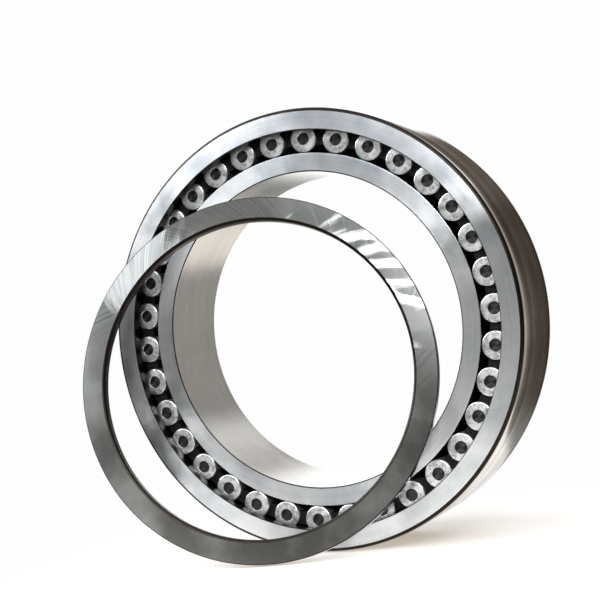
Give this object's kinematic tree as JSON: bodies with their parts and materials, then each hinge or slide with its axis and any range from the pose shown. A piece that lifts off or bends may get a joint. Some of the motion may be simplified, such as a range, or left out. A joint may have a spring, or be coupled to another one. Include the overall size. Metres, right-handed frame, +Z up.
{
  "type": "cylindrical roller bearing",
  "caption": "Large cylindrical roller bearing standing on edge, with its flat loose flange ring taken off and leaned against the open side.",
  "frame": {"origin": "where the outer ring rests on the floor, half way along its width", "axes": "+Z up, +Y along the bearing's axis towards the closed side; the open side and the loose flange ring face -Y"},
  "size_m": [0.2865, 0.111, 0.28],
  "materials": {
    "ring_steel": "fine ground",
    "flange_steel": "fine ground, cloudy",
    "roller_steel": "lapped",
    "cage_black": "matte black"
  },
  "bodies": {
    "outer_ring": {"outer_ring": "ring_steel"},
    "inner_ring": {"inner_ring": "ring_steel"},
    "cage": {"cage": "cage_black"},
    "flange_ring": {"flange_ring": "flange_steel"},
    "roller_01": {"roller_01": "roller_steel"},
    "roller_02": {"roller_02": "roller_steel"},
    "roller_03": {"roller_03": "roller_steel"},
    "roller_04": {"roller_04": "roller_steel"},
    "roller_05": {"roller_05": "roller_steel"},
    "roller_06": {"roller_06": "roller_steel"},
    "roller_07": {"roller_07": "roller_steel"},
    "roller_08": {"roller_08": "roller_steel"},
    "roller_09": {"roller_09": "roller_steel"},
    "roller_10": {"roller_10": "roller_steel"},
    "roller_11": {"roller_11": "roller_steel"},
    "roller_12": {"roller_12": "roller_steel"},
    "roller_13": {"roller_13": "roller_steel"},
    "roller_14": {"roller_14": "roller_steel"},
    "roller_15": {"roller_15": "roller_steel"},
    "roller_16": {"roller_16": "roller_steel"},
    "roller_17": {"roller_17": "roller_steel"},
    "roller_18": {"roller_18": "roller_steel"},
    "roller_19": {"roller_19": "roller_steel"},
    "roller_20": {"roller_20": "roller_steel"},
    "roller_21": {"roller_21": "roller_steel"},
    "roller_22": {"roller_22": "roller_steel"},
    "roller_23": {"roller_23": "roller_steel"},
    "roller_24": {"roller_24": "roller_steel"},
    "roller_25": {"roller_25": "roller_steel"},
    "roller_26": {"roller_26": "roller_steel"},
    "roller_27": {"roller_27": "roller_steel"},
    "roller_28": {"roller_28": "roller_steel"},
    "roller_29": {"roller_29": "roller_steel"},
    "roller_30": {"roller_30": "roller_steel"},
    "roller_31": {"roller_31": "roller_steel"},
    "roller_32": {"roller_32": "roller_steel"},
    "roller_33": {"roller_33": "roller_steel"},
    "roller_34": {"roller_34": "roller_steel"}
  },
  "joints": [
    {"name": "inner_ring_spin", "type": "hinge", "parent": "outer_ring", "child": "inner_ring", "pos_m": [0, 0, 0.14], "axis": [0, 1, 0], "continuous": true},
    {"name": "cage_orbit", "type": "hinge", "parent": "outer_ring", "child": "cage", "pos_m": [0, 0, 0.14], "axis": [0, 1, 0], "continuous": true},
    {"name": "flange_ring_tip", "type": "hinge", "parent": "outer_ring", "child": "flange_ring", "pos_m": [-0.02767, -0.06779, 0.00104], "axis": [0.9789, 0.2045, 0], "range_deg": [0, 99.5]},
    {"name": "roller_01_spin", "type": "hinge", "parent": "cage", "child": "roller_01", "pos_m": [0.1208, 0, 0.14], "axis": [0, 1, 0], "continuous": true},
    {"name": "roller_02_spin", "type": "hinge", "parent": "cage", "child": "roller_02", "pos_m": [0.11874, 0, 0.1622], "axis": [0, 1, 0], "continuous": true},
    {"name": "roller_03_spin", "type": "hinge", "parent": "cage", "child": "roller_03", "pos_m": [0.11264, 0, 0.18364], "axis": [0, 1, 0], "continuous": true},
    {"name": "roller_04_spin", "type": "hinge", "parent": "cage", "child": "roller_04", "pos_m": [0.10271, 0, 0.20359], "axis": [0, 1, 0], "continuous": true},
    {"name": "roller_05_spin", "type": "hinge", "parent": "cage", "child": "roller_05", "pos_m": [0.08927, 0, 0.22138], "axis": [0, 1, 0], "continuous": true},
    {"name": "roller_06_spin", "type": "hinge", "parent": "cage", "child": "roller_06", "pos_m": [0.0728, 0, 0.2364], "axis": [0, 1, 0], "continuous": true},
    {"name": "roller_07_spin", "type": "hinge", "parent": "cage", "child": "roller_07", "pos_m": [0.05384, 0, 0.24814], "axis": [0, 1, 0], "continuous": true},
    {"name": "roller_08_spin", "type": "hinge", "parent": "cage", "child": "roller_08", "pos_m": [0.03306, 0, 0.25619], "axis": [0, 1, 0], "continuous": true},
    {"name": "roller_09_spin", "type": "hinge", "parent": "cage", "child": "roller_09", "pos_m": [0.01115, 0, 0.26028], "axis": [0, 1, 0], "continuous": true},
    {"name": "roller_10_spin", "type": "hinge", "parent": "cage", "child": "roller_10", "pos_m": [-0.01115, 0, 0.26028], "axis": [0, 1, 0], "continuous": true},
    {"name": "roller_11_spin", "type": "hinge", "parent": "cage", "child": "roller_11", "pos_m": [-0.03306, 0, 0.25619], "axis": [0, 1, 0], "continuous": true},
    {"name": "roller_12_spin", "type": "hinge", "parent": "cage", "child": "roller_12", "pos_m": [-0.05384, 0, 0.24814], "axis": [0, 1, 0], "continuous": true},
    {"name": "roller_13_spin", "type": "hinge", "parent": "cage", "child": "roller_13", "pos_m": [-0.0728, 0, 0.2364], "axis": [0, 1, 0], "continuous": true},
    {"name": "roller_14_spin", "type": "hinge", "parent": "cage", "child": "roller_14", "pos_m": [-0.08927, 0, 0.22138], "axis": [0, 1, 0], "continuous": true},
    {"name": "roller_15_spin", "type": "hinge", "parent": "cage", "child": "roller_15", "pos_m": [-0.10271, 0, 0.20359], "axis": [0, 1, 0], "continuous": true},
    {"name": "roller_16_spin", "type": "hinge", "parent": "cage", "child": "roller_16", "pos_m": [-0.11264, 0, 0.18364], "axis": [0, 1, 0], "continuous": true},
    {"name": "roller_17_spin", "type": "hinge", "parent": "cage", "child": "roller_17", "pos_m": [-0.11874, 0, 0.1622], "axis": [0, 1, 0], "continuous": true},
    {"name": "roller_18_spin", "type": "hinge", "parent": "cage", "child": "roller_18", "pos_m": [-0.1208, 0, 0.14], "axis": [0, 1, 0], "continuous": true},
    {"name": "roller_19_spin", "type": "hinge", "parent": "cage", "child": "roller_19", "pos_m": [-0.11874, 0, 0.1178], "axis": [0, 1, 0], "continuous": true},
    {"name": "roller_20_spin", "type": "hinge", "parent": "cage", "child": "roller_20", "pos_m": [-0.11264, 0, 0.09636], "axis": [0, 1, 0], "continuous": true},
    {"name": "roller_21_spin", "type": "hinge", "parent": "cage", "child": "roller_21", "pos_m": [-0.10271, 0, 0.07641], "axis": [0, 1, 0], "continuous": true},
    {"name": "roller_22_spin", "type": "hinge", "parent": "cage", "child": "roller_22", "pos_m": [-0.08927, 0, 0.05862], "axis": [0, 1, 0], "continuous": true},
    {"name": "roller_23_spin", "type": "hinge", "parent": "cage", "child": "roller_23", "pos_m": [-0.0728, 0, 0.0436], "axis": [0, 1, 0], "continuous": true},
    {"name": "roller_24_spin", "type": "hinge", "parent": "cage", "child": "roller_24", "pos_m": [-0.05384, 0, 0.03186], "axis": [0, 1, 0], "continuous": true},
    {"name": "roller_25_spin", "type": "hinge", "parent": "cage", "child": "roller_25", "pos_m": [-0.03306, 0, 0.02381], "axis": [0, 1, 0], "continuous": true},
    {"name": "roller_26_spin", "type": "hinge", "parent": "cage", "child": "roller_26", "pos_m": [-0.01115, 0, 0.01971], "axis": [0, 1, 0], "continuous": true},
    {"name": "roller_27_spin", "type": "hinge", "parent": "cage", "child": "roller_27", "pos_m": [0.01115, 0, 0.01971], "axis": [0, 1, 0], "continuous": true},
    {"name": "roller_28_spin", "type": "hinge", "parent": "cage", "child": "roller_28", "pos_m": [0.03306, 0, 0.02381], "axis": [0, 1, 0], "continuous": true},
    {"name": "roller_29_spin", "type": "hinge", "parent": "cage", "child": "roller_29", "pos_m": [0.05384, 0, 0.03186], "axis": [0, 1, 0], "continuous": true},
    {"name": "roller_30_spin", "type": "hinge", "parent": "cage", "child": "roller_30", "pos_m": [0.0728, 0, 0.0436], "axis": [0, 1, 0], "continuous": true},
    {"name": "roller_31_spin", "type": "hinge", "parent": "cage", "child": "roller_31", "pos_m": [0.08927, 0, 0.05862], "axis": [0, 1, 0], "continuous": true},
    {"name": "roller_32_spin", "type": "hinge", "parent": "cage", "child": "roller_32", "pos_m": [0.10271, 0, 0.07641], "axis": [0, 1, 0], "continuous": true},
    {"name": "roller_33_spin", "type": "hinge", "parent": "cage", "child": "roller_33", "pos_m": [0.11264, 0, 0.09636], "axis": [0, 1, 0], "continuous": true},
    {"name": "roller_34_spin", "type": "hinge", "parent": "cage", "child": "roller_34", "pos_m": [0.11874, 0, 0.1178], "axis": [0, 1, 0], "continuous": true}
  ],
  "couplings": [
    {"joint": "cage_orbit", "follows": "inner_ring_spin", "ratio": 0.46358},
    {"joint": "roller_01_spin", "follows": "inner_ring_spin", "ratio": -6.8272},
    {"joint": "roller_02_spin", "follows": "inner_ring_spin", "ratio": -6.8272},
    {"joint": "roller_03_spin", "follows": "inner_ring_spin", "ratio": -6.8272},
    {"joint": "roller_04_spin", "follows": "inner_ring_spin", "ratio": -6.8272},
    {"joint": "roller_05_spin", "follows": "inner_ring_spin", "ratio": -6.8272},
    {"joint": "roller_06_spin", "follows": "inner_ring_spin", "ratio": -6.8272},
    {"joint": "roller_07_spin", "follows": "inner_ring_spin", "ratio": -6.8272},
    {"joint": "roller_08_spin", "follows": "inner_ring_spin", "ratio": -6.8272},
    {"joint": "roller_09_spin", "follows": "inner_ring_spin", "ratio": -6.8272},
    {"joint": "roller_10_spin", "follows": "inner_ring_spin", "ratio": -6.8272},
    {"joint": "roller_11_spin", "follows": "inner_ring_spin", "ratio": -6.8272},
    {"joint": "roller_12_spin", "follows": "inner_ring_spin", "ratio": -6.8272},
    {"joint": "roller_13_spin", "follows": "inner_ring_spin", "ratio": -6.8272},
    {"joint": "roller_14_spin", "follows": "inner_ring_spin", "ratio": -6.8272},
    {"joint": "roller_15_spin", "follows": "inner_ring_spin", "ratio": -6.8272},
    {"joint": "roller_16_spin", "follows": "inner_ring_spin", "ratio": -6.8272},
    {"joint": "roller_17_spin", "follows": "inner_ring_spin", "ratio": -6.8272},
    {"joint": "roller_18_spin", "follows": "inner_ring_spin", "ratio": -6.8272},
    {"joint": "roller_19_spin", "follows": "inner_ring_spin", "ratio": -6.8272},
    {"joint": "roller_20_spin", "follows": "inner_ring_spin", "ratio": -6.8272},
    {"joint": "roller_21_spin", "follows": "inner_ring_spin", "ratio": -6.8272},
    {"joint": "roller_22_spin", "follows": "inner_ring_spin", "ratio": -6.8272},
    {"joint": "roller_23_spin", "follows": "inner_ring_spin", "ratio": -6.8272},
    {"joint": "roller_24_spin", "follows": "inner_ring_spin", "ratio": -6.8272},
    {"joint": "roller_25_spin", "follows": "inner_ring_spin", "ratio": -6.8272},
    {"joint": "roller_26_spin", "follows": "inner_ring_spin", "ratio": -6.8272},
    {"joint": "roller_27_spin", "follows": "inner_ring_spin", "ratio": -6.8272},
    {"joint": "roller_28_spin", "follows": "inner_ring_spin", "ratio": -6.8272},
    {"joint": "roller_29_spin", "follows": "inner_ring_spin", "ratio": -6.8272},
    {"joint": "roller_30_spin", "follows": "inner_ring_spin", "ratio": -6.8272},
    {"joint": "roller_31_spin", "follows": "inner_ring_spin", "ratio": -6.8272},
    {"joint": "roller_32_spin", "follows": "inner_ring_spin", "ratio": -6.8272},
    {"joint": "roller_33_spin", "follows": "inner_ring_spin", "ratio": -6.8272},
    {"joint": "roller_34_spin", "follows": "inner_ring_spin", "ratio": -6.8272}
  ]
}
